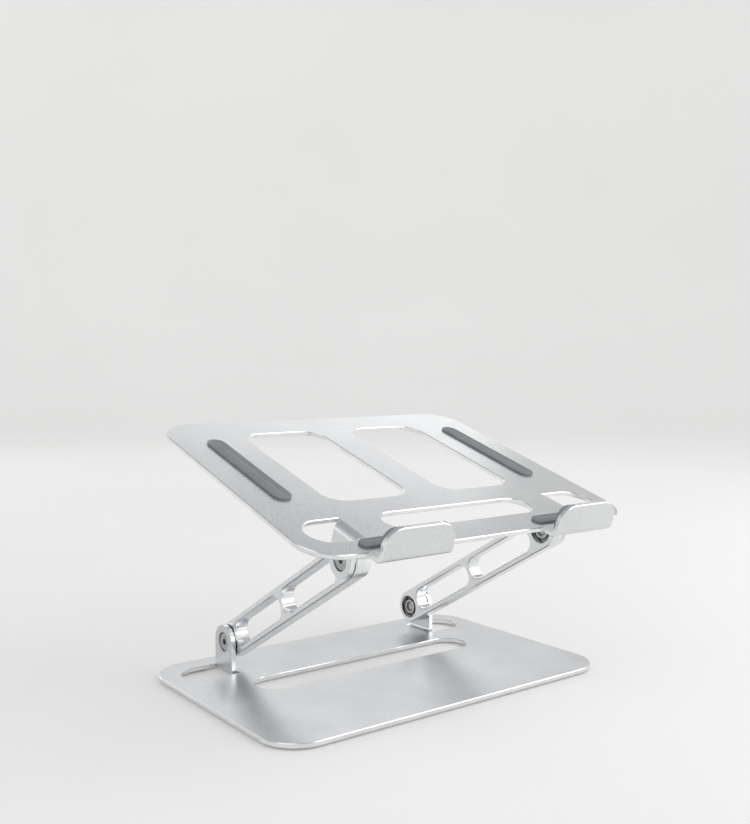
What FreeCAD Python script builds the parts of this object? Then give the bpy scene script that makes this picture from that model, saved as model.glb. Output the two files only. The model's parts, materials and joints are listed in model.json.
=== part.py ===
import FreeCAD, Part
import Sketcher
import math
import os

Vec = FreeCAD.Vector
PI = math.pi
X_AXIS = Vec(1, 0, 0)
Z_AXIS = Vec(0, 0, 1)

doc = FreeCAD.newDocument("LaptopStand")

# ----------------------------------------------------------------- driving dimensions (mm, degrees)

DRIVING = {
    # sheet metal of the base and the tray
    "sheet": 3.0,
    "bend_inner": 2.0,
    "edge_break": 0.45,
    "root_overlap": 1.0,
    # base plate; y is measured from the lower hinge axis
    "foot_height": 1.0,
    "base_half_width": 130.3,
    "base_rear": 29.3,
    "base_front": 146.0,
    "base_corner": 25.0,
    "slot_half_length": 87.4,
    "slot_rear": 31.3,
    "slot_front": 58.7,
    # ears, the same on the base and the tray
    "ear_outer": 87.4,
    "ear_radius": 11.4,
    "cutout_half_width": 14.0,
    "base_cutout_centre": 103.0,
    # hinges
    "lower_hinge_z": 22.4,
    "lower_hinge_y": 78.98,
    "arm_length": 158.4,
    "arm_angle": 29.57,
    # arms
    "ear_gap": 0.7,
    "arm_thickness": 10.4,
    "arm_half_width": 11.5,
    "arm_edge": 0.7,
    "window_radius": 7.8,
    "lower_window_start": 19.2,
    "lower_window_end": 69.0,
    "upper_window_start": 87.1,
    "upper_window_end": 138.2,
    "recess_radius": 8.4,
    "recess_depth": 6.4,
    "bore_radius": 4.5,
    # tray; measured from the upper hinge axis in the tray's own tilted frame
    "tray_angle": 17.0,
    "tray_underside": 16.5,
    "tray_half_width": 126.0,
    "tray_front": 29.0,
    "tray_rear": 172.0,
    "tray_corner": 24.0,
    "tray_cutout_centre": 99.5,
    "tray_ear_radius": 10.7,
    "vent_inner": 13.0,
    "vent_outer": 74.0,
    "vent_front": 34.0,
    "vent_rear": 148.0,
    "vent_corner": 14.0,
    "grip_half_length": 58.0,
    "grip_rear": 14.0,
    "grip_front": 8.0,
    # front hooks
    "hook_inner": 41.5,
    "hook_outer": 91.5,
    "hook_face": 40.4,
    "hook_top": 37.6,
    "hook_corner": 12.0,
    # soft pads
    "pad_height": 1.5,
    "hook_pad_height": 2.0,
    "hook_pad_inset": 1.0,
    "foot_half_length": 15.0,
    "foot_radius": 5.0,
    "foot_side_inset": 27.0,
    "foot_rear_inset": 8.0,
    "foot_front_inset": 10.0,
    "side_pad_half_length": 47.88,
    "side_pad_radius": 6.0,
    "front_pad_radius": 4.5,
    "front_pad_inset": 9.0,
    "pad_clearance": 0.5,
    # hinge hardware
    "head_radius": 6.2,
    "head_recess_radius": 6.6,
    "head_recess_depth": 2.1,
    "head_sunk": 0.7,
    "head_edge": 0.5,
    "socket_flats": 4.0,
    "socket_depth": 1.9,
    "shank_radius": 3.0,
    "shank_clearance": 0.05,
    "friction_washer_radius": 10.3,
    "flange_radius": 7.2,
    "flange_height": 0.7,
    "thrust_washer_radius": 7.4,
    "thrust_washer_height": 0.8,
    "spring_radius": 6.8,
    "spring_sheet": 0.45,
    "spring_height": 1.2,
    "nut_radius": 5.4,
    "nut_height": 3.0,
    "nut_edge": 0.4,
    "nut_socket_flats": 7.0,
    "nut_socket_depth": 1.6,
    "shank_in_socket": 0.5,
}


class Size:
    """A length that carries its value and the expression that ties it to the sheet."""

    def __init__(self, value, text):
        self.value = value
        self.text = text

    def __add__(self, other):
        other = as_size(other)
        return Size(self.value + other.value, f"({self.text} + {other.text})")

    def __sub__(self, other):
        other = as_size(other)
        return Size(self.value - other.value, f"({self.text} - {other.text})")

    def __mul__(self, number):
        return Size(self.value * number, f"({self.text} * {number})")

    def __neg__(self):
        return self * -1


def as_size(number):
    return number if isinstance(number, Size) else Size(number, str(number))


def make_sheet():
    """Write the driving dimensions into the spreadsheet and hand them back by name."""
    sheet = doc.addObject("Spreadsheet::Sheet", "Dims")
    sizes = {}
    for row, (name, value) in enumerate(DRIVING.items(), start=1):
        sheet.set(f"A{row}", name)
        sheet.set(f"B{row}", str(value))
        sheet.setAlias(f"B{row}", name)
        sizes[name] = Size(value, f"Dims.{name}")
    doc.recompute()
    return sizes


DIM = make_sheet()
ZERO = as_size(0.0)

# ----------------------------------------------------------------- sketch and feature helpers


def new_body(label):
    body = doc.addObject("PartDesign::Body", label)
    body.Label = label
    return body


def new_sketch(body, name, plane="XY_Plane", height=ZERO):
    """A sketch on one of the body's own origin planes, moved along its normal by height."""
    sketch = body.newObject("Sketcher::SketchObject", f"{body.Name}_{name}")
    support = next(o for o in body.Origin.OriginFeatures if o.Role == plane)
    sketch.AttachmentSupport = [(support, "")]
    sketch.MapMode = "FlatFace"
    sketch.AttachmentOffset = FreeCAD.Placement(Vec(0, 0, height.value), FreeCAD.Rotation())
    sketch.setExpression("AttachmentOffset.Base.z", height.text)
    return sketch


def bind(sketch, constraint, size):
    """Add a dimensional constraint and tie it to the sheet."""
    index = sketch.addConstraint(constraint)
    sketch.setExpression(f"Constraints[{index}]", size.text)


def fix_point(sketch, geometry, position, x, y):
    """Hold a point at x, y from the sketch origin."""
    bind(sketch, Sketcher.Constraint("DistanceX", -1, 1, geometry, position, x.value), x)
    bind(sketch, Sketcher.Constraint("DistanceY", -1, 1, geometry, position, y.value), y)


def draw_outline(sketch, points):
    """Closed outline. Each point is (x, y) or (x, y, radius): a radius makes the side that
    ends at the next point an arc, counter-clockwise when positive."""
    first = sketch.GeometryCount
    count = len(points)
    for i, point in enumerate(points):
        start = Vec(point[0].value, point[1].value, 0)
        after = points[(i + 1) % count]
        end = Vec(after[0].value, after[1].value, 0)
        if len(point) == 2:
            sketch.addGeometry(Part.LineSegment(start, end), False)
        else:
            sketch.addGeometry(arc_between(start, end, point[2].value), False)
    for i, point in enumerate(points):
        this = first + i
        after = first + (i + 1) % count
        clockwise = len(point) == 3 and point[2].value < 0
        end_position = 1 if clockwise else 2
        following = points[(i + 1) % count]
        start_position = 2 if len(following) == 3 and following[2].value < 0 else 1
        sketch.addConstraint(Sketcher.Constraint("Coincident", this, end_position, after, start_position))
        own_start = 2 if clockwise else 1
        fix_point(sketch, this, own_start, point[0], point[1])
        if len(point) == 3:
            radius = -point[2] if clockwise else point[2]
            bind(sketch, Sketcher.Constraint("Radius", this, radius.value), radius)


def arc_between(start, end, radius):
    """Minor arc from start to end: counter-clockwise when the radius is positive."""
    half = (end - start) * 0.5
    rise = math.sqrt(max(radius * radius - half.Length ** 2, 0.0))
    normal = Vec(-half.y, half.x, 0).normalize()
    centre = start + half + normal * (rise if radius > 0 else -rise)
    a0 = math.atan2(start.y - centre.y, start.x - centre.x)
    a1 = math.atan2(end.y - centre.y, end.x - centre.x)
    circle = Part.Circle(centre, Vec(0, 0, 1), abs(radius))
    if radius > 0:
        return Part.ArcOfCircle(circle, a0, a1 if a1 > a0 else a1 + 2 * PI)
    return Part.ArcOfCircle(circle, a1, a0 if a0 > a1 else a0 + 2 * PI)


def draw_rounded_box(sketch, x0, x1, y0, y1, corner):
    draw_outline(sketch, [
        (x0 + corner, y0), (x1 - corner, y0, corner), (x1, y0 + corner), (x1, y1 - corner, corner),
        (x1 - corner, y1), (x0 + corner, y1, corner), (x0, y1 - corner), (x0, y0 + corner, corner)])


def draw_slot(sketch, x0, x1, y, radius):
    """Obround along the sketch's x, between two arc centres. Each end is two quarter arcs."""
    draw_outline(sketch, [
        (x0, y - radius), (x1, y - radius, radius), (x1 + radius, y, radius),
        (x1, y + radius), (x0, y + radius, radius), (x0 - radius, y, radius)])


def draw_circle(sketch, x, y, radius):
    index = sketch.addGeometry(Part.Circle(Vec(x.value, y.value, 0), Vec(0, 0, 1), radius.value), False)
    bind(sketch, Sketcher.Constraint("Radius", index, radius.value), radius)
    fix_point(sketch, index, 3, x, y)


def draw_hexagon(sketch, flats):
    """Hexagon about the sketch origin, by its width across flats."""
    corner = flats * (1 / math.sqrt(3))
    points = []
    for i in range(6):
        points.append((corner * round(math.cos(i * PI / 3), 9), corner * round(math.sin(i * PI / 3), 9)))
    draw_outline(sketch, points)


def pad(body, sketch, length, symmetric=False, reverse=False):
    feature = body.newObject("PartDesign::Pad", f"{sketch.Name}_pad")
    feature.Profile = sketch
    feature.Length = length.value
    feature.setExpression("Length", length.text)
    feature.SideType = "Symmetric" if symmetric else "One side"
    feature.Reversed = reverse
    sketch.Visibility = False
    doc.recompute()
    return feature


def pocket(body, sketch, depth=None, reverse=False):
    """Cut to a depth, or right through both ways when no depth is given."""
    before = body.Shape.Volume
    feature = body.newObject("PartDesign::Pocket", f"{sketch.Name}_pocket")
    feature.Profile = sketch
    if depth is None:
        feature.Type = "ThroughAll"
        feature.SideType = "Symmetric"
    else:
        feature.Length = depth.value
        feature.setExpression("Length", depth.text)
    feature.Reversed = reverse
    sketch.Visibility = False
    doc.recompute()
    if body.Shape.Volume > before - 1e-3:
        raise RuntimeError(f"{feature.Name} cut nothing")
    return feature


def revolve(body, sketch):
    """Full turn about the sketch's vertical axis."""
    feature = body.newObject("PartDesign::Revolution", f"{sketch.Name}_turned")
    feature.Profile = sketch
    feature.ReferenceAxis = (sketch, ["V_Axis"])
    feature.Angle = 360
    sketch.Visibility = False
    doc.recompute()
    return feature


def chamfer(body, feature, wanted, size):
    """Break the feature's edges for which wanted(edge) is true."""
    names = [f"Edge{i}" for i, edge in enumerate(feature.Shape.Edges, start=1) if wanted(edge)]
    cut = body.newObject("PartDesign::Chamfer", f"{feature.Name}_edges")
    cut.Base = (feature, names)
    cut.Size = size.value
    cut.setExpression("Size", size.text)
    doc.recompute()
    return cut


def on_plane(edge, axis, level):
    """True when every point of the edge lies at this level of the axis (0 x, 1 y, 2 z)."""
    points = edge.discretize(5)
    return all(abs(p[axis] - level) < 1e-4 for p in points)


def on_either_face(edge, low, high):
    """True for edges of the lower or the upper face of a plate."""
    return on_plane(edge, 2, low.value) or on_plane(edge, 2, high.value)


# ----------------------------------------------------------------- shared positions

SIDES = {"left": -1, "right": 1}
BEND_OUTER = DIM["bend_inner"] + DIM["sheet"]
EAR_INNER = DIM["ear_outer"] - DIM["sheet"]
BEND_START = DIM["ear_outer"] - BEND_OUTER
ARM_OUTER = EAR_INNER - DIM["ear_gap"]

ARM_RADIANS = math.radians(DRIVING["arm_angle"])
TRAY_RADIANS = math.radians(DRIVING["tray_angle"])
LOWER_HINGE = Vec(0, DRIVING["lower_hinge_y"], DRIVING["lower_hinge_z"])
ARM_DIRECTION = Vec(0, -math.cos(ARM_RADIANS), math.sin(ARM_RADIANS))
UPPER_HINGE = LOWER_HINGE + ARM_DIRECTION * DRIVING["arm_length"]


def place(x, y, z, axis=Z_AXIS, angle=0.0):
    return FreeCAD.Placement(Vec(x, y, z), FreeCAD.Rotation(axis, angle))


BASE_FRAME = place(0, LOWER_HINGE.y, 0)
TRAY_FRAME = place(*UPPER_HINGE, X_AXIS, DRIVING["tray_angle"])


def hinge_frame(side, hinge, depth):
    """Frame whose z runs inward along a hinge axis, depth in from the ear's outer face."""
    sign = SIDES[side]
    inward = X_AXIS * -sign
    rotation = FreeCAD.Rotation(ARM_DIRECTION, inward.cross(ARM_DIRECTION), inward, "XZY")
    start = Vec(sign * (DRIVING["ear_outer"] - depth), hinge.y, hinge.z)
    return FreeCAD.Placement(start, rotation)


# ----------------------------------------------------------------- bent sheet parts


def cut_ear_opening(body, sign, centre, level):
    """U-shaped opening that the ear was bent out of, from the bend line to a round tip."""
    half = DIM["cutout_half_width"]
    tip = centre + half
    sketch = new_sketch(body, f"cutout_{'right' if sign > 0 else 'left'}", height=level)
    points = [(BEND_START, -half), (centre, -half, half), (tip, ZERO, half), (centre, half),
              (BEND_START, half)]
    if sign < 0:
        points = [(-BEND_START, half), (-centre, half, half), (-tip, ZERO, half), (-centre, -half),
                  (-BEND_START, -half)]
    draw_outline(sketch, points)
    return pocket(body, sketch)


def bend_profile(sketch, sign, start, corner, low, high, outer, end):
    """Closed section of a sheet that leaves the plate at start and turns to run up to end."""
    inner = DIM["bend_inner"]
    full = BEND_OUTER
    inside = outer - DIM["sheet"]
    points = [(start, low), (corner, low, full), (outer, low + full), (outer, end),
              (inside, end), (inside, high + inner, -inner), (corner, high), (start, high)]
    if sign < 0:
        points = [(-start, low), (-start, high), (-corner, high, -inner), (-inside, high + inner),
                  (-inside, end), (-outer, end), (-outer, low + full, full), (-corner, low)]
    draw_outline(sketch, points)


def add_ear(body, sign, low, high, hinge_level, radius):
    """Ear bent up from a plate between low and high, with a round end about the hinge."""
    side = "right" if sign > 0 else "left"
    section = new_sketch(body, f"ear_section_{side}", "XZ_Plane")
    bend_profile(section, sign, BEND_START - DIM["root_overlap"], BEND_START, low, high, DIM["ear_outer"],
                 hinge_level)
    pad(body, section, radius * 2, symmetric=True)
    outer_x = DIM["ear_outer"] * sign
    disc = new_sketch(body, f"ear_end_{side}", "YZ_Plane", outer_x)
    draw_circle(disc, ZERO, hinge_level, radius)
    pad(body, disc, DIM["sheet"], reverse=sign > 0)
    bore = new_sketch(body, f"ear_bore_{side}", "YZ_Plane", outer_x)
    draw_circle(bore, ZERO, hinge_level, DIM["shank_radius"] + DIM["shank_clearance"])
    pocket(body, bore, DIM["sheet"] + DIM["root_overlap"], reverse=sign < 0)
    recess = new_sketch(body, f"ear_recess_{side}", "YZ_Plane", outer_x)
    draw_circle(recess, ZERO, hinge_level, DIM["head_recess_radius"])
    pocket(body, recess, DIM["head_recess_depth"], reverse=sign < 0)


def at_bend_line(edge):
    """Edges of the opening that the bend grows from, which stay sharp."""
    return all(abs(abs(p.x) - BEND_START.value) < 1e-4 for p in edge.discretize(5))


def make_base_plate():
    body = new_body("base_plate")
    low = DIM["foot_height"]
    high = low + DIM["sheet"]
    outline = new_sketch(body, "outline", height=low)
    half = DIM["base_half_width"]
    draw_rounded_box(outline, -half, half, -DIM["base_front"], DIM["base_rear"], DIM["base_corner"])
    pad(body, outline, DIM["sheet"])
    slot = new_sketch(body, "slot", height=low)
    radius = (DIM["slot_front"] - DIM["slot_rear"]) * 0.5
    reach = DIM["slot_half_length"] - radius
    draw_slot(slot, -reach, reach, -DIM["slot_rear"] - radius, radius)
    pocket(body, slot)
    for sign in SIDES.values():
        plate = cut_ear_opening(body, sign, DIM["base_cutout_centre"], low)
    chamfer(body, plate, lambda e: on_either_face(e, low, high) and not at_bend_line(e), DIM["edge_break"])
    for sign in SIDES.values():
        add_ear(body, sign, low, high, DIM["lower_hinge_z"], DIM["ear_radius"])
    body.Placement = BASE_FRAME


def make_tray_plate():
    """Modelled upside down about the hinge axis, so that its ears rise like the base's."""
    body = new_body("tray_plate")
    low = -DIM["tray_underside"] - DIM["sheet"]
    high = -DIM["tray_underside"]
    outline = new_sketch(body, "outline", height=low)
    half = DIM["tray_half_width"]
    draw_rounded_box(outline, -half, half, -DIM["tray_rear"], DIM["tray_front"], DIM["tray_corner"])
    pad(body, outline, DIM["sheet"])
    vents = new_sketch(body, "vents", height=low)
    for x0, x1 in ((-DIM["vent_outer"], -DIM["vent_inner"]), (DIM["vent_inner"], DIM["vent_outer"])):
        draw_rounded_box(vents, x0, x1, -DIM["vent_rear"], -DIM["vent_front"], DIM["vent_corner"])
    pocket(body, vents)
    grip = new_sketch(body, "grip_slot", height=low)
    radius = (DIM["grip_rear"] + DIM["grip_front"]) * 0.5
    draw_slot(grip, -DIM["grip_half_length"] + radius, DIM["grip_half_length"] - radius,
              (DIM["grip_front"] - DIM["grip_rear"]) * 0.5, radius)
    pocket(body, grip)
    for sign in SIDES.values():
        plate = cut_ear_opening(body, sign, DIM["tray_cutout_centre"], low)
    chamfer(body, plate, lambda e: on_either_face(e, low, high) and not at_bend_line(e)
            and not on_hook_line(e), DIM["edge_break"])
    for sign in SIDES.values():
        add_ear(body, sign, low, high, ZERO, DIM["tray_ear_radius"])
    for sign in SIDES.values():
        add_hook(body, sign, low, high)
    body.Placement = TRAY_FRAME.multiply(place(0, 0, 0, X_AXIS, 180))


def on_hook_line(edge):
    """Front edges of the tray, where the hooks grow from."""
    return all(abs(p.y - DRIVING["tray_front"]) < 1e-4 for p in edge.discretize(5))


def add_hook(body, sign, low, high):
    """Tab that leaves the front edge, turns through the bend and ends in a round-cornered face."""
    side = "right" if sign > 0 else "left"
    inner = DIM["bend_inner"]
    full = BEND_OUTER
    face = DIM["hook_face"]
    back = face - DIM["sheet"]
    corner = face - full
    top = -DIM["hook_top"]
    width = DIM["hook_outer"] - DIM["hook_inner"]
    middle = (DIM["hook_outer"] + DIM["hook_inner"]) * 0.5 * sign
    section = new_sketch(body, f"hook_section_{side}", "YZ_Plane", middle)
    start = DIM["tray_front"] - DIM["root_overlap"] * 2
    draw_outline(section, [(start, low), (corner, low, -inner), (back, low - inner), (back, top),
                           (face, top), (face, high - full, full), (corner, high), (start, high)])
    tab = pad(body, section, width, symmetric=True)
    round_off = body.newObject("PartDesign::Fillet", f"hook_corners_{side}")
    near = [f"Edge{i}" for i, e in enumerate(tab.Shape.Edges, start=1) if is_hook_corner(e, sign)]
    round_off.Base = (tab, near)
    round_off.Radius = DIM["hook_corner"].value
    round_off.setExpression("Radius", DIM["hook_corner"].text)
    doc.recompute()
    rim = [f"Edge{i}" for i, e in enumerate(round_off.Shape.Edges, start=1) if is_hook_rim(e, sign)]
    bright = body.newObject("PartDesign::Chamfer", f"hook_rim_{side}")
    bright.Base = (round_off, rim)
    bright.Size = DIM["edge_break"].value
    bright.setExpression("Size", DIM["edge_break"].text)
    doc.recompute()


def is_hook_corner(edge, sign):
    """The two short edges across the sheet at the hook's top corners."""
    ends = [v.Point for v in edge.Vertexes]
    if len(ends) != 2 or abs((ends[0] - ends[1]).Length - DRIVING["sheet"]) > 1e-4:
        return False
    return all(abs(p.z + DRIVING["hook_top"]) < 1e-4 and p.x * sign > 0 for p in ends)


def is_hook_rim(edge, sign):
    """Edges round the outer face of the hook."""
    points = edge.discretize(5)
    on_face = all(abs(p.y - DRIVING["hook_face"]) < 1e-4 and p.x * sign > 0 for p in points)
    level = -DRIVING["tray_underside"] - BEND_OUTER.value
    along_bend = all(abs(p.z - level) < 1e-4 for p in points)
    return on_face and not along_bend


# ----------------------------------------------------------------- arms


def make_arm(side):
    """Drawn flat: x along the arm from the lower hinge, z from the outer face inward."""
    body = new_body(f"arm_{side}")
    length = DIM["arm_length"]
    thick = DIM["arm_thickness"]
    outline = new_sketch(body, "outline")
    draw_slot(outline, ZERO, length, ZERO, DIM["arm_half_width"])
    pad(body, outline, thick)
    windows = new_sketch(body, "windows")
    draw_slot(windows, DIM["lower_window_start"], DIM["lower_window_end"], ZERO, DIM["window_radius"])
    draw_slot(windows, DIM["upper_window_start"], DIM["upper_window_end"], ZERO, DIM["window_radius"])
    plate = pocket(body, windows)
    chamfer(body, plate, lambda e: on_plane(e, 2, 0) or on_plane(e, 2, thick.value), DIM["arm_edge"])
    bores = new_sketch(body, "bores")
    recesses = new_sketch(body, "recesses", height=thick)
    for x in (ZERO, length):
        draw_circle(bores, x, ZERO, DIM["bore_radius"])
        draw_circle(recesses, x, ZERO, DIM["recess_radius"])
    pocket(body, bores)
    pocket(body, recesses, DIM["recess_depth"])
    body.Placement = hinge_frame(side, LOWER_HINGE, DRIVING["sheet"] + DRIVING["ear_gap"])


# ----------------------------------------------------------------- hinge hardware


RECESS_FLOOR = DIM["sheet"] + DIM["ear_gap"] + DIM["arm_thickness"] - DIM["recess_depth"]
WASHER_LEVEL = RECESS_FLOOR + DIM["flange_height"]
SPRING_LEVEL = WASHER_LEVEL + DIM["thrust_washer_height"]
NUT_LEVEL = SPRING_LEVEL + DIM["spring_height"]
NUT_TOP = NUT_LEVEL + DIM["nut_height"]
SHANK_END = NUT_TOP - DIM["nut_socket_depth"] + DIM["shank_in_socket"]
RUNNING_BORE = DIM["shank_radius"] + DIM["shank_clearance"]


def make_turned(label, points, frame):
    """Ring or stud turned from a closed (radius, depth) outline."""
    body = new_body(label)
    sketch = new_sketch(body, "section", "XZ_Plane")
    draw_outline(sketch, points)
    revolve(body, sketch)
    body.Placement = frame
    return body


def ring_section(inner, outer, low, high):
    return [(inner, low), (outer, low), (outer, high), (inner, high)]


def make_hinge_set(end, side, hinge):
    """Screw, washers, bush, spring and nut of one hinge, in order from the ear inward."""
    frame = hinge_frame(side, hinge, 0.0)
    tag = f"{end}_{side}"
    edge = DIM["head_edge"]
    head = DIM["head_radius"]
    top = DIM["head_sunk"]
    seat = DIM["head_recess_depth"]
    shank = DIM["shank_radius"]
    inside_ear = DIM["sheet"]
    outside_arm = inside_ear + DIM["ear_gap"]
    screw = make_turned(f"pivot_screw_{tag}", [
        (ZERO, top), (head - edge, top), (head, top + edge), (head, seat), (shank, seat),
        (shank, SHANK_END - edge), (shank - edge, SHANK_END), (ZERO, SHANK_END)], frame)
    socket = new_sketch(screw, "socket", height=top)
    draw_hexagon(socket, DIM["socket_flats"])
    pocket(screw, socket, DIM["socket_depth"], reverse=True)

    make_turned(f"friction_washer_{tag}",
                ring_section(RUNNING_BORE, DIM["friction_washer_radius"], inside_ear, outside_arm), frame)

    sleeve = DIM["bore_radius"]
    flange = DIM["flange_radius"]
    make_turned(f"bush_{tag}", [
        (RUNNING_BORE, outside_arm), (sleeve, outside_arm), (sleeve, RECESS_FLOOR), (flange, RECESS_FLOOR),
        (flange, WASHER_LEVEL), (RUNNING_BORE, WASHER_LEVEL)], frame)

    make_turned(f"thrust_washer_{tag}",
                ring_section(RUNNING_BORE, DIM["thrust_washer_radius"], WASHER_LEVEL, SPRING_LEVEL), frame)

    thin = DIM["spring_sheet"]
    rim = DIM["spring_radius"]
    make_turned(f"disc_spring_{tag}", [
        (RUNNING_BORE, NUT_LEVEL - thin), (rim, SPRING_LEVEL), (rim, SPRING_LEVEL + thin),
        (RUNNING_BORE, NUT_LEVEL)], frame)

    round_nut = DIM["nut_radius"]
    broken = DIM["nut_edge"]
    nut = make_turned(f"lock_nut_{tag}", [
        (RUNNING_BORE, NUT_LEVEL), (round_nut, NUT_LEVEL), (round_nut, NUT_TOP - broken),
        (round_nut - broken, NUT_TOP), (RUNNING_BORE, NUT_TOP)], frame)
    key = new_sketch(nut, "key", height=NUT_TOP)
    draw_hexagon(key, DIM["nut_socket_flats"])
    pocket(nut, key, DIM["nut_socket_depth"])


# ----------------------------------------------------------------- soft pads


def make_obround_pad(label, half_length, radius, height, frame):
    body = new_body(label)
    sketch = new_sketch(body, "outline")
    draw_slot(sketch, -half_length + radius, half_length - radius, ZERO, radius)
    pad(body, sketch, height)
    body.Placement = frame


def make_feet():
    x = DRIVING["base_half_width"] - DRIVING["foot_side_inset"]
    rows = {
        "rear": DRIVING["base_rear"] - DRIVING["foot_rear_inset"],
        "front": DRIVING["foot_front_inset"] - DRIVING["base_front"],
    }
    for row, y in rows.items():
        for side, sign in SIDES.items():
            make_obround_pad(f"foot_{row}_{side}", DIM["foot_half_length"], DIM["foot_radius"],
                             DIM["foot_height"], BASE_FRAME.multiply(place(sign * x, y, 0)))


def make_tray_pads():
    """A pad behind each hook and a long one down each side of the vents."""
    surface = DRIVING["tray_underside"] + DRIVING["sheet"]
    front_x = (DRIVING["hook_inner"] + DRIVING["hook_outer"]) / 2
    front_y = DRIVING["front_pad_inset"] - DRIVING["tray_front"]
    front_half = (DIM["hook_outer"] - DIM["hook_inner"]) * 0.5
    side_x = (DRIVING["vent_outer"] + DRIVING["tray_half_width"]) / 2
    side_y = (DRIVING["vent_rear"] + DRIVING["vent_front"]) / 2
    for side, sign in SIDES.items():
        front = place(sign * front_x, front_y, surface)
        make_obround_pad(f"tray_pad_front_{side}", front_half, DIM["front_pad_radius"], DIM["pad_height"],
                         TRAY_FRAME.multiply(front))
        beside_vent = place(sign * side_x, side_y, surface, Z_AXIS, 90)
        make_obround_pad(f"tray_pad_rear_{side}", DIM["side_pad_half_length"], DIM["side_pad_radius"],
                         DIM["pad_height"], TRAY_FRAME.multiply(beside_vent))


def make_hook_pad(side):
    """Soft lining on the hook's inner face, a little smaller than the face."""
    body = new_body(f"hook_pad_{side}")
    inset = DIM["hook_pad_inset"]
    half = (DIM["hook_outer"] - DIM["hook_inner"]) * 0.5 - inset
    foot = DIM["tray_underside"] + DIM["sheet"] + DIM["pad_height"] + DIM["pad_clearance"]
    crown = DIM["hook_top"] - inset
    corner = DIM["hook_corner"] - inset
    sketch = new_sketch(body, "face", "XZ_Plane")
    draw_outline(sketch, [
        (-half, foot), (half, foot), (half, crown - corner, corner), (half - corner, crown),
        (-half + corner, crown, corner), (-half, crown - corner)])
    pad(body, sketch, DIM["hook_pad_height"], reverse=True)
    middle = (DRIVING["hook_inner"] + DRIVING["hook_outer"]) / 2
    back = DRIVING["hook_face"] - DRIVING["sheet"]
    body.Placement = TRAY_FRAME.multiply(place(SIDES[side] * middle, -back, 0))


# ----------------------------------------------------------------- build and export


def main():
    make_base_plate()
    make_feet()
    make_tray_plate()
    make_tray_pads()
    for side in SIDES:
        make_arm(side)
        make_hook_pad(side)
        make_hinge_set("lower", side, LOWER_HINGE)
        make_hinge_set("upper", side, UPPER_HINGE)
    doc.recompute()

    faults = [o.Name for o in doc.Objects if "Invalid" in o.State or "Error" in o.State]
    if faults:
        raise RuntimeError(f"failed features: {faults}")
    os.makedirs("parts", exist_ok=True)
    for body in [o for o in doc.Objects if o.TypeId == "PartDesign::Body"]:
        shape = body.Shape
        if shape.isNull() or not shape.isValid():
            raise RuntimeError(f"bad shape: {body.Label}")
        shape.exportStep(f"parts/{body.Label}.step")


main()
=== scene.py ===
import json
import math

import bmesh
import bpy
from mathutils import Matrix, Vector


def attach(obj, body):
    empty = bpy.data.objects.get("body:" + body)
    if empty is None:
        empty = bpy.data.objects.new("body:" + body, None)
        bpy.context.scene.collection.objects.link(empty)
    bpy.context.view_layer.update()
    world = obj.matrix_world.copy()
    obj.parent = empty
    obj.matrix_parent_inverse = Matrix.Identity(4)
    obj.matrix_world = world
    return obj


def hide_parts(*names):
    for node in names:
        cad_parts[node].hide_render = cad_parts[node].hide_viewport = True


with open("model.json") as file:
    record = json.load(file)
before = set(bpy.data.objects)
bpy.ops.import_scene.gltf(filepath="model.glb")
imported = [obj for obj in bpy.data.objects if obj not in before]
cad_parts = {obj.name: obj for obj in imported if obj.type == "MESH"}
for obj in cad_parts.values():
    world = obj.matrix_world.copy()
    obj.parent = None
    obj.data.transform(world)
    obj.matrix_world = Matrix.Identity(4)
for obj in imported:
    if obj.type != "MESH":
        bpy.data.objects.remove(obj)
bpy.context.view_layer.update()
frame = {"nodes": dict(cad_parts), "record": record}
nodes = frame["nodes"]

# The tray lies in its own tilted directions, which the record's laptop face gives.
ACROSS = Vector((1, 0, 0))
laptop_face = next(m for m in frame["record"]["mounts"] if m["name"] == "laptop_face")
TRAY_UP = Vector(laptop_face["axis"]).normalized()
TRAY_BACK = TRAY_UP.cross(ACROSS)
TRAY_LEVEL = TRAY_UP.dot(Vector(laptop_face["pos_m"]))
LEVEL = (ACROSS, Vector((0, 1, 0)), Vector((0, 0, 1)))
TILTED = (ACROSS, TRAY_BACK, TRAY_UP)
MM = 0.001

# ------------------------------------------------------------------ camera


def make_camera():
    """A normal lens low over the desk, turned toward the stand's right rear."""
    data = bpy.data.cameras.new("camera")
    data.sensor_fit = "HORIZONTAL"
    data.sensor_width = 36.0
    data.lens = 48.23
    data.clip_start = 0.02
    data.clip_end = 50.0
    camera = bpy.data.objects.new("camera", data)
    camera.location = (-0.40727, -0.51898, 0.21448)
    camera.rotation_euler = (math.radians(86.896), 0.0, math.radians(-36.842))
    bpy.context.scene.collection.objects.link(camera)
    bpy.context.scene.camera = camera


make_camera()

# ------------------------------------------------------------------ material helpers


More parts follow.
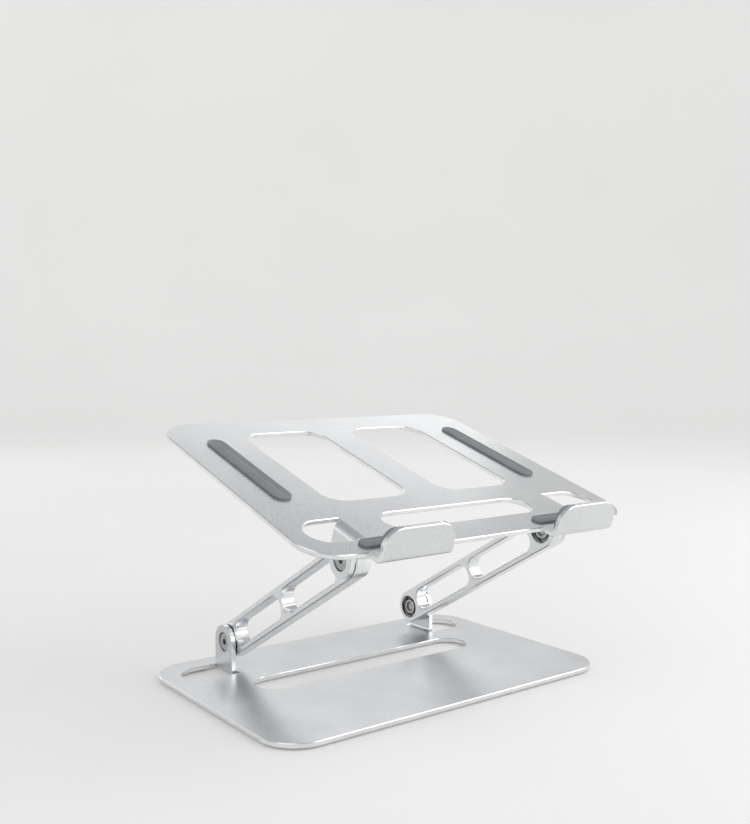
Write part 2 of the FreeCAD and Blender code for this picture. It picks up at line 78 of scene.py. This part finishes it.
class Nodes:
    """One material's node tree, with short calls to add and join nodes."""

    def __init__(self, name):
        self.material = bpy.data.materials.new(name)
        self.material.use_nodes = True
        self.tree = self.material.node_tree
        self.shader = next(n for n in self.tree.nodes if n.type == "BSDF_PRINCIPLED")
        self.place = self.add("ShaderNodeTexCoord").outputs["Object"]

    def add(self, kind, **settings):
        node = self.tree.nodes.new(kind)
        for name, value in settings.items():
            setattr(node, name, value)
        return node

    def join(self, source, target):
        self.tree.links.new(source, target)

    def noise(self, size, detail=2.0, roughness=0.5, stretch=(1, 1, 1)):
        """Noise whose features are about size metres across."""
        mapping = self.add("ShaderNodeMapping")
        mapping.inputs["Scale"].default_value = stretch
        self.join(self.place, mapping.inputs["Vector"])
        noise = self.add("ShaderNodeTexNoise")
        noise.inputs["Scale"].default_value = 1.0 / size
        noise.inputs["Detail"].default_value = detail
        noise.inputs["Roughness"].default_value = roughness
        self.join(mapping.outputs["Vector"], noise.inputs["Vector"])
        return noise.outputs["Fac"]

    def math(self, operation, first, second):
        node = self.add("ShaderNodeMath", operation=operation)
        for socket, value in zip(node.inputs, (first, second)):
            if isinstance(value, bpy.types.NodeSocket):
                self.join(value, socket)
            else:
                socket.default_value = value
        return node.outputs["Value"]

    def remap(self, source, low, high, start=0.35, end=0.65):
        node = self.add("ShaderNodeMapRange")
        node.inputs["From Min"].default_value = start
        node.inputs["From Max"].default_value = end
        node.inputs["To Min"].default_value = low
        node.inputs["To Max"].default_value = high
        self.join(source, node.inputs["Value"])
        return node.outputs["Result"]

    def colours(self, source, dark, light, start=0.3, end=0.7):
        ramp = self.add("ShaderNodeValToRGB")
        ramp.color_ramp.elements[0].position = start
        ramp.color_ramp.elements[0].color = (*dark, 1)
        ramp.color_ramp.elements[1].position = end
        ramp.color_ramp.elements[1].color = (*light, 1)
        self.join(source, ramp.inputs["Fac"])
        return ramp.outputs["Color"]

    def bump(self, source, depth, strength=1.0, under=None):
        node = self.add("ShaderNodeBump")
        node.inputs["Distance"].default_value = depth
        node.inputs["Strength"].default_value = strength
        self.join(source, node.inputs["Height"])
        if under is not None:
            self.join(under, node.inputs["Normal"])
        return node.outputs["Normal"]

    def set(self, **values):
        """Constant values, or links where the value is a socket."""
        for name, value in values.items():
            socket = self.shader.inputs[name.replace("_", " ")]
            if isinstance(value, bpy.types.NodeSocket):
                self.join(value, socket)
            else:
                socket.default_value = value
        return self.material


# ------------------------------------------------------------------ materials


def blasted_aluminium(name, dark, light, smooth, rough, speckle_size=0.0011):
    """Bead-blasted, clear anodised aluminium: speckled grain, faint clouds and a few fine handling marks."""
    n = Nodes(name)
    speckle = n.noise(speckle_size, detail=4.0, roughness=0.7)
    grain = n.noise(0.0004, detail=2.0, roughness=0.6)
    clouds = n.noise(0.04, detail=3.0)
    marks = n.noise(0.004, detail=2.0, stretch=(0.12, 1.6, 1.6))
    tone = n.math("ADD", n.math("MULTIPLY", speckle, 0.65), n.math("MULTIPLY", clouds, 0.35))
    gloss = n.math("ADD", n.remap(speckle, smooth, rough), n.remap(marks, 0.0, -0.03, 0.6, 0.75))
    bumps = n.bump(grain, 0.00004, 0.3, under=n.bump(speckle, 0.00005, 0.16))
    return n.set(Base_Color=n.colours(tone, dark, light, 0.36, 0.64), Metallic=1.0, Roughness=gloss,
                 Normal=bumps)


def cut_edge():
    """Edges cut after blasting and polished: brighter and glossier than the faces, with a fine lay."""
    n = Nodes("polished_edge")
    lay = n.noise(0.0008, detail=2.0, stretch=(1, 0.25, 1))
    clouds = n.noise(0.012, detail=2.0)
    return n.set(Base_Color=n.colours(clouds, (0.76, 0.77, 0.78), (0.86, 0.87, 0.88)), Metallic=1.0,
                 Roughness=n.remap(lay, 0.18, 0.27), Normal=n.bump(lay, 0.00001, 0.2))


def bare_steel(name, dark, light, smooth, rough):
    """Steel hardware: a fine grain with patches rubbed smoother."""
    n = Nodes(name)
    grain = n.noise(0.0005, detail=3.0)
    wear = n.noise(0.003, detail=2.0)
    tone = n.math("ADD", n.math("MULTIPLY", grain, 0.6), n.math("MULTIPLY", wear, 0.4))
    return n.set(Base_Color=n.colours(tone, dark, light), Metallic=1.0,
                 Roughness=n.remap(wear, smooth, rough), Normal=n.bump(grain, 0.00003, 0.4))


def moulded(name, dark, light, smooth, rough, size=0.0006, depth=0.00005):
    """Matt moulded polymer or rubber with an eroded-tool grain."""
    n = Nodes(name)
    grain = n.noise(size, detail=3.0)
    clouds = n.noise(0.01, detail=2.0)
    tone = n.math("ADD", n.math("MULTIPLY", grain, 0.5), n.math("MULTIPLY", clouds, 0.5))
    return n.set(Base_Color=n.colours(tone, dark, light, 0.38, 0.62),
                 Roughness=n.remap(clouds, smooth, rough), Normal=n.bump(grain, depth, 0.5))


SHEET = blasted_aluminium("blasted_sheet", (0.53, 0.54, 0.555), (0.68, 0.69, 0.705), 0.29, 0.38)
TRAY_SHEET = blasted_aluminium("blasted_tray_sheet", (0.66, 0.67, 0.68), (0.74, 0.75, 0.76), 0.24, 0.31,
                               0.0006)
ARM = blasted_aluminium("blasted_arm", (0.70, 0.71, 0.72), (0.78, 0.79, 0.80), 0.24, 0.32, 0.0007)
EDGE = cut_edge()
SCREW = bare_steel("turned_steel", (0.33, 0.335, 0.345), (0.45, 0.455, 0.465), 0.18, 0.28)
NUT = bare_steel("nut_steel", (0.38, 0.385, 0.395), (0.54, 0.545, 0.555), 0.22, 0.34)
SPRING = bare_steel("spring_steel", (0.30, 0.30, 0.31), (0.44, 0.44, 0.46), 0.2, 0.32)
BUSH = moulded("bush_polymer", (0.05, 0.05, 0.053), (0.085, 0.085, 0.09), 0.4, 0.55)
FRICTION = moulded("friction_polymer", (0.018, 0.018, 0.02), (0.035, 0.035, 0.038), 0.5, 0.65)
SILICONE = moulded("grey_silicone", (0.20, 0.205, 0.21), (0.27, 0.275, 0.28), 0.5, 0.66, 0.0008)
RUBBER = moulded("black_rubber", (0.018, 0.018, 0.019), (0.04, 0.04, 0.042), 0.62, 0.8, 0.0007, 0.00008)

FINISHES = (
    (("base_plate",), SHEET),
    (("tray_plate",), TRAY_SHEET),
    (("arm_",), ARM),
    (("pivot_screw",), SCREW),
    (("lock_nut", "thrust_washer"), NUT),
    (("disc_spring",), SPRING),
    (("bush",), BUSH),
    (("friction_washer",), FRICTION),
    (("foot",), RUBBER),
    (("hook_pad", "tray_pad"), SILICONE),
)


def finish_of(name):
    """The finish of a CAD node, by how its name starts."""
    return next(material for starts, material in FINISHES if name.startswith(starts))


# ------------------------------------------------------------------ faces and cut edges

FLAT = 0.985           # how nearly a normal lies along a direction on a flat face
LEANING = 0.02         # the least that a bend's normal leans
ACROSS_BEND = 0.05     # the most that a bend's normal leans along the bend
ARM_FACE = 0.6         # keeps the arms' chamfers with their faces
BASE_TOP = 5 * MM      # above the base plate, below its ears
TRAY_UNDER = -6 * MM   # these four are heights from the tray's laptop face
TRAY_OVER = 2 * MM
TRAY_EAR_TOP = -5 * MM
HOOK_LOW = 2 * MM
HOOK_REACH = 8 * MM    # from the hooks' front faces back past their bends


def base_face(centre, normal):
    """Whether this bit of the base's skin is rolled sheet, and not a cut edge."""
    on_plate = abs(normal.z) > FLAT and centre.z < BASE_TOP
    on_ear = abs(normal.x) > FLAT and centre.z > BASE_TOP
    on_bend = abs(normal.y) < ACROSS_BEND and LEANING < abs(normal.z) < FLAT
    return on_plate or on_ear or on_bend


def tray_face(centre, normal):
    """The same for the tray, in its own tilted directions."""
    height = centre.dot(TRAY_UP) - TRAY_LEVEL
    up, back = normal.dot(TRAY_UP), normal.dot(TRAY_BACK)
    on_plate = abs(up) > FLAT and TRAY_UNDER < height < TRAY_OVER
    on_ear = abs(normal.x) > FLAT and height < TRAY_EAR_TOP
    on_ear_bend = abs(back) < ACROSS_BEND and LEANING < abs(up) < FLAT
    at_front = centre.dot(TRAY_BACK) < HOOK_END
    on_hook = at_front and abs(back) > FLAT and height > HOOK_LOW
    on_hook_bend = at_front and abs(normal.x) < ACROSS_BEND and LEANING < abs(up) < FLAT
    return on_plate or on_ear or on_ear_bend or on_hook or on_hook_bend


def arm_face(centre, normal):
    """The same for an arm, whose faces stand upright."""
    return abs(normal.x) > ARM_FACE


def span(name, directions):
    """Lowest and highest reach of a CAD node along each of three directions."""
    points = [v.co for v in nodes[name].data.vertices]
    return [(min(p.dot(d) for p in points), max(p.dot(d) for p in points)) for d in directions]


HOOK_END = span("tray_plate", TILTED)[1][0] + HOOK_REACH


def split_finish(node, is_face, face, edge):
    """Faces keep the satin finish, cut edges take the polished one."""
    node.data.materials.clear()
    node.data.materials.append(face)
    node.data.materials.append(edge)
    for polygon in node.data.polygons:
        polygon.material_index = 0 if is_face(polygon.center, polygon.normal) else 1


for name, node in nodes.items():
    if name == "base_plate":
        split_finish(node, base_face, finish_of(name), EDGE)
    elif name == "tray_plate":
        split_finish(node, tray_face, finish_of(name), EDGE)
    elif name.startswith("arm_"):
        split_finish(node, arm_face, finish_of(name), EDGE)
    else:
        node.data.materials.clear()
        node.data.materials.append(finish_of(name))

# ------------------------------------------------------------------ soft pads and feet

LEAST_RADIUS = 0.3 * MM
GLUED_RIM = 0.12 * MM
RIM_RADIUS = 0.6 * MM
RIM_SHARE = 0.45       # the most of a thin pad's height that its rounded rim takes
RIM_STEPS = 5
GROOVE_DEPTH = 0.18 * MM
CREASE = math.radians(40)


def rounded_outline(half_x, half_y, upper, lower, corner_steps=10):
    """Corner points of a rounded rectangle round the origin, with the corner radii of its two ends."""
    points = []
    for quarter, (sx, sy) in enumerate(((1, 1), (-1, 1), (-1, -1), (1, -1))):
        radius = max(min(upper if sy > 0 else lower, half_x, half_y), LEAST_RADIUS)
        for i in range(corner_steps + 1):
            angle = math.pi / 2 * (quarter + i / corner_steps)
            points.append((sx * (half_x - radius) + radius * math.cos(angle),
                           sy * (half_y - radius) + radius * math.sin(angle)))
    return points


def pad_rings(height, pitch, grooves):
    """(inset, height) pairs from the glued face up the side, round the edge and over the grooves."""
    edge = min(RIM_SHARE * height, RIM_RADIUS)
    rings = [(GLUED_RIM, 0.0), (0.0, GLUED_RIM)]
    for i in range(RIM_STEPS + 1):
        angle = math.pi / 2 * i / RIM_STEPS
        rings.append((edge * (1 - math.cos(angle)), height - edge * (1 - math.sin(angle))))
    inset = edge + 0.35 * pitch
    low = height - GROOVE_DEPTH
    for _ in range(grooves):
        rings += [(inset, height), (inset + 0.10 * pitch, low), (inset + 0.30 * pitch, low),
                  (inset + 0.40 * pitch, height)]
        inset += pitch
    rings.append((inset, height))
    return rings


def make_pad(name, node, body, directions, radius, pitch, grooves, into=2, out=1, lower_radius=None):
    """Soft pad in place of a CAD pad, with a rounded rim and moulded grooves. It is as thick as the CAD pad along
    directions[into], and the face that shows is on the out side."""
    ranges = span(node, directions)
    flat = [i for i in range(3) if i != into]
    half = [(ranges[i][1] - ranges[i][0]) / 2 for i in flat]
    middle = [(ranges[i][1] + ranges[i][0]) / 2 for i in flat]
    height = ranges[into][1] - ranges[into][0]
    foot = ranges[into][0] if out > 0 else ranges[into][1]
    lower = radius if lower_radius is None else lower_radius
    rings = pad_rings(height, pitch, grooves)
    verts, faces, count = [], [], 0
    for inset, level in rings:
        outline = rounded_outline(half[0] - inset, half[1] - inset, radius - inset, lower - inset)
        count = len(outline)
        for a, b in outline:
            verts.append(directions[flat[0]] * (middle[0] + a) + directions[flat[1]] * (middle[1] + b)
                         + directions[into] * (foot + out * level))
    for ring in range(len(rings) - 1):
        low, high = ring * count, (ring + 1) * count
        faces += [(low + i, low + (i + 1) % count, high + (i + 1) % count, high + i)
                  for i in range(count)]
    faces.append(tuple(range(count - 1, -1, -1)))
    faces.append(tuple(range(len(verts) - count, len(verts))))
    mesh = bpy.data.meshes.new(name)
    mesh.from_pydata(verts, [], faces)
    turned = bmesh.new()
    turned.from_mesh(mesh)
    bmesh.ops.recalc_face_normals(turned, faces=turned.faces)
    turned.to_mesh(mesh)
    turned.free()
    mesh.shade_smooth()
    mesh.set_sharp_from_angle(angle=CREASE)
    mesh.materials.append(finish_of(node))
    pad = bpy.data.objects.new(name, mesh)
    bpy.context.scene.collection.objects.link(pad)
    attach(pad, body)
    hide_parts(node)


def make_pads():
    """The ten soft pieces. The corner radii are the CAD outlines', but the hook pads' square lower corners are
    eased."""
    for name in nodes:
        if name.startswith("foot_"):
            make_pad("rubber_" + name, name, "base", LEVEL,
                     radius=5 * MM, pitch=1.3 * MM, grooves=3, out=-1)
        elif name.startswith("tray_pad_rear"):
            make_pad("soft_" + name, name, "tray", TILTED,
                     radius=6 * MM, pitch=1.5 * MM, grooves=3)
        elif name.startswith("tray_pad_front"):
            make_pad("soft_" + name, name, "tray", TILTED,
                     radius=4.5 * MM, pitch=1.3 * MM, grooves=2)
        elif name.startswith("hook_pad"):
            make_pad("soft_" + name, name, "tray", TILTED,
                     radius=11 * MM, pitch=1.6 * MM, grooves=3, into=1, lower_radius=0.5 * MM)


make_pads()

# ------------------------------------------------------------------ stage


def make_studio():
    """Pale seamless bowl: a flat floor whose rim sweeps up and glows, out of every camera's way."""
    n = Nodes("studio_paper")
    clouds = n.noise(0.5, detail=3.0)
    away = n.add("ShaderNodeVectorMath", operation="LENGTH")
    n.join(n.place, away.inputs[0])
    glow = n.remap(away.outputs["Value"], 0.17, 0.27, 0.3, 3.2)
    n.set(Base_Color=n.colours(clouds, (0.735, 0.73, 0.72), (0.76, 0.755, 0.745)), Roughness=0.8,
          Emission_Color=(1.0, 0.995, 0.985, 1), Emission_Strength=glow)
    n.material.cycles.emission_sampling = "NONE"
    middle, flat, sweep, wall, turns, steps = 0.6, 2.2, 1.6, 1.2, 96, 16
    profile = [(middle, 0.0), (flat, 0.0)]
    for i in range(1, steps + 1):
        angle = math.pi / 2 * i / steps
        profile.append((flat + sweep * math.sin(angle), sweep * (1 - math.cos(angle))))
    profile.append((flat + sweep, sweep + wall))
    verts = [(0, 0, 0)]
    for radius, z in profile:
        for i in range(turns):
            angle = 2 * math.pi * i / turns
            verts.append((radius * math.cos(angle), radius * math.sin(angle), z))
    faces = [(0, 1 + i, 1 + (i + 1) % turns) for i in range(turns)]
    for ring in range(len(profile) - 1):
        low, high = 1 + ring * turns, 1 + (ring + 1) * turns
        faces += [(low + i, high + i, high + (i + 1) % turns, low + (i + 1) % turns)
                  for i in range(turns)]
    mesh = bpy.data.meshes.new("studio_floor")
    mesh.from_pydata(verts, [], faces)
    mesh.shade_smooth()
    mesh.materials.append(n.material)
    floor = bpy.data.objects.new("studio_floor", mesh)
    floor.location.z = -0.2 * MM
    bpy.context.scene.collection.objects.link(floor)


def make_world():
    """Even, faintly cool light from above the bowl."""
    world = bpy.data.worlds.new("studio")
    bpy.context.scene.world = world
    world.use_nodes = True
    background = world.node_tree.nodes["Background"]
    background.inputs["Color"].default_value = (0.95, 0.97, 1.0, 1)
    background.inputs["Strength"].default_value = 0.5


def add_light(name, toward, distance, size, power):
    """Soft rectangular light that way from the stand, not seen by the camera itself."""
    data = bpy.data.lights.new(name, "AREA")
    data.shape = "RECTANGLE"
    data.size, data.size_y = size
    data.energy = power
    light = bpy.data.objects.new(name, data)
    light.location = Vector(toward).normalized() * distance
    light.rotation_euler = (-light.location).to_track_quat("-Z", "Y").to_euler()
    light.visible_camera = False
    bpy.context.scene.collection.objects.link(light)


LIGHTS = (
    # name, direction from the stand, distance, size, power
    ("front_right", (0.61, -0.56, 0.56), 1.5, (1.8, 1.4), 13),
    ("top_left", (-0.62, -0.15, 0.85), 1.9, (1.2, 1.2), 3),
    ("back_left", (-0.45, 0.85, 0.25), 1.9, (1.4, 0.7), 3),
    ("back_right", (0.39, 0.77, 0.50), 1.9, (1.6, 0.5), 2),
)

make_studio()
make_world()
for light in LIGHTS:
    add_light(*light)
bpy.context.scene.view_settings.view_transform = "Standard"
